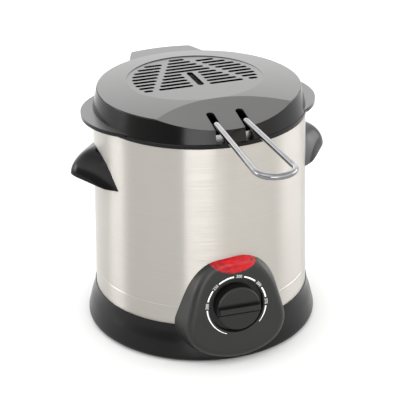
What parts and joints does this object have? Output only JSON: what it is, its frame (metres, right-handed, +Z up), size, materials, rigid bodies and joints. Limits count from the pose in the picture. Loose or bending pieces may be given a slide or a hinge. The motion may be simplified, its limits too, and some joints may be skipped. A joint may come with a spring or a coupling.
{
  "type": "deep fryer",
  "caption": "Compact countertop deep fryer: round steel-shelled body, removable pot, wire basket with a looped handle, vented lid and a front thermostat dial.",
  "frame": {"origin": "middle of the underside, on the table, on the drum's axis", "axes": "+Z up along the drum's axis; -Y out of the front, where the dial and the basket handle are; +X to the right of someone facing the front"},
  "size_m": [0.2618, 0.3469, 0.2489],
  "materials": {
    "black_plastic": "satin moulded black plastic",
    "gloss_black": "glossy moulded black plastic",
    "lid_plastic": "satin black plastic, polished skirt",
    "panel_plastic": "satin charcoal plastic",
    "knob_plastic": "fine-textured black plastic",
    "shell_steel": "horizontally brushed stainless steel",
    "plain_steel": "zinc-plated steel",
    "cast_aluminium": "plain aluminium",
    "pot_aluminium": "drawn aluminium, satin",
    "wire_chrome": "chromium-plated steel wire",
    "lens_red": "translucent red plastic",
    "lamp_glass": "clear neon tube",
    "foot_rubber": "black rubber",
    "pin_brass": "brass",
    "magnet_black": "ferrite",
    "ceramic": "pale moulded block",
    "wire_cover": "silicone-covered wire",
    "fuse_silver": "bright metal can",
    "filter_felt": "grey filter felt",
    "cover_plastic": "black moulded plastic"
  },
  "bodies": {
    "root": {"base_housing": "black_plastic", "bottom_plate": "black_plastic", "rubber_feet": "foot_rubber", "bottom_screws": "plain_steel", "outer_shell": "shell_steel", "rim_ring": "gloss_black", "inner_well": "cast_aluminium", "heater_plate": "cast_aluminium", "heating_element": "plain_steel", "heat_shield": "plain_steel", "shield_spacers": "plain_steel", "indicator_lens": "lens_red", "control_panel": "panel_plastic", "indicator_lamp": "lamp_glass", "panel_screws": "plain_steel", "thermostat_body": "ceramic", "thermostat_nut": "plain_steel", "right_handle": "gloss_black", "left_handle": "gloss_black", "handle_screws": "plain_steel", "power_inlet": "black_plastic", "inlet_pins": "pin_brass", "inlet_magnets": "magnet_black", "terminal_block": "ceramic", "thermal_fuse": "fuse_silver", "internal_wires": "wire_cover"},
    "knob": {"control_knob": "knob_plastic", "thermostat_shaft": "plain_steel", "knob_clip": "plain_steel"},
    "pot": {"cooking_pot": "pot_aluminium"},
    "basket": {"basket_rim": "wire_chrome", "basket_mesh": "wire_chrome", "basket_frame": "wire_chrome", "basket_bracket": "wire_chrome"},
    "handle": {"basket_handle": "wire_chrome"},
    "lid": {"lid": "lid_plastic", "lid_filter": "filter_felt", "filter_cover": "cover_plastic"}
  },
  "joints": [
    {"name": "knob_turn", "type": "hinge", "parent": "root", "child": "knob", "pos_m": [0, -0.1175, 0.0615], "axis": [0, -0.9925, 0.1219], "range_deg": [0, 248]},
    {"name": "pot_lift", "type": "slide", "parent": "root", "child": "pot", "axis": [0, 0, 1], "range_m": [0, 0.15]},
    {"name": "basket_lift", "type": "slide", "parent": "pot", "child": "basket", "axis": [0, 0, 1], "range_m": [0, 0.14]},
    {"name": "lid_lift", "type": "slide", "parent": "basket", "child": "lid", "axis": [0, 0, 1], "range_m": [0, 0.08]},
    {"name": "handle_tilt", "type": "hinge", "parent": "basket", "child": "handle", "pos_m": [0.00304, -0.08695, 0.197], "axis": [-0.9994, -0.0349, 0], "range_deg": [0, 12]}
  ]
}
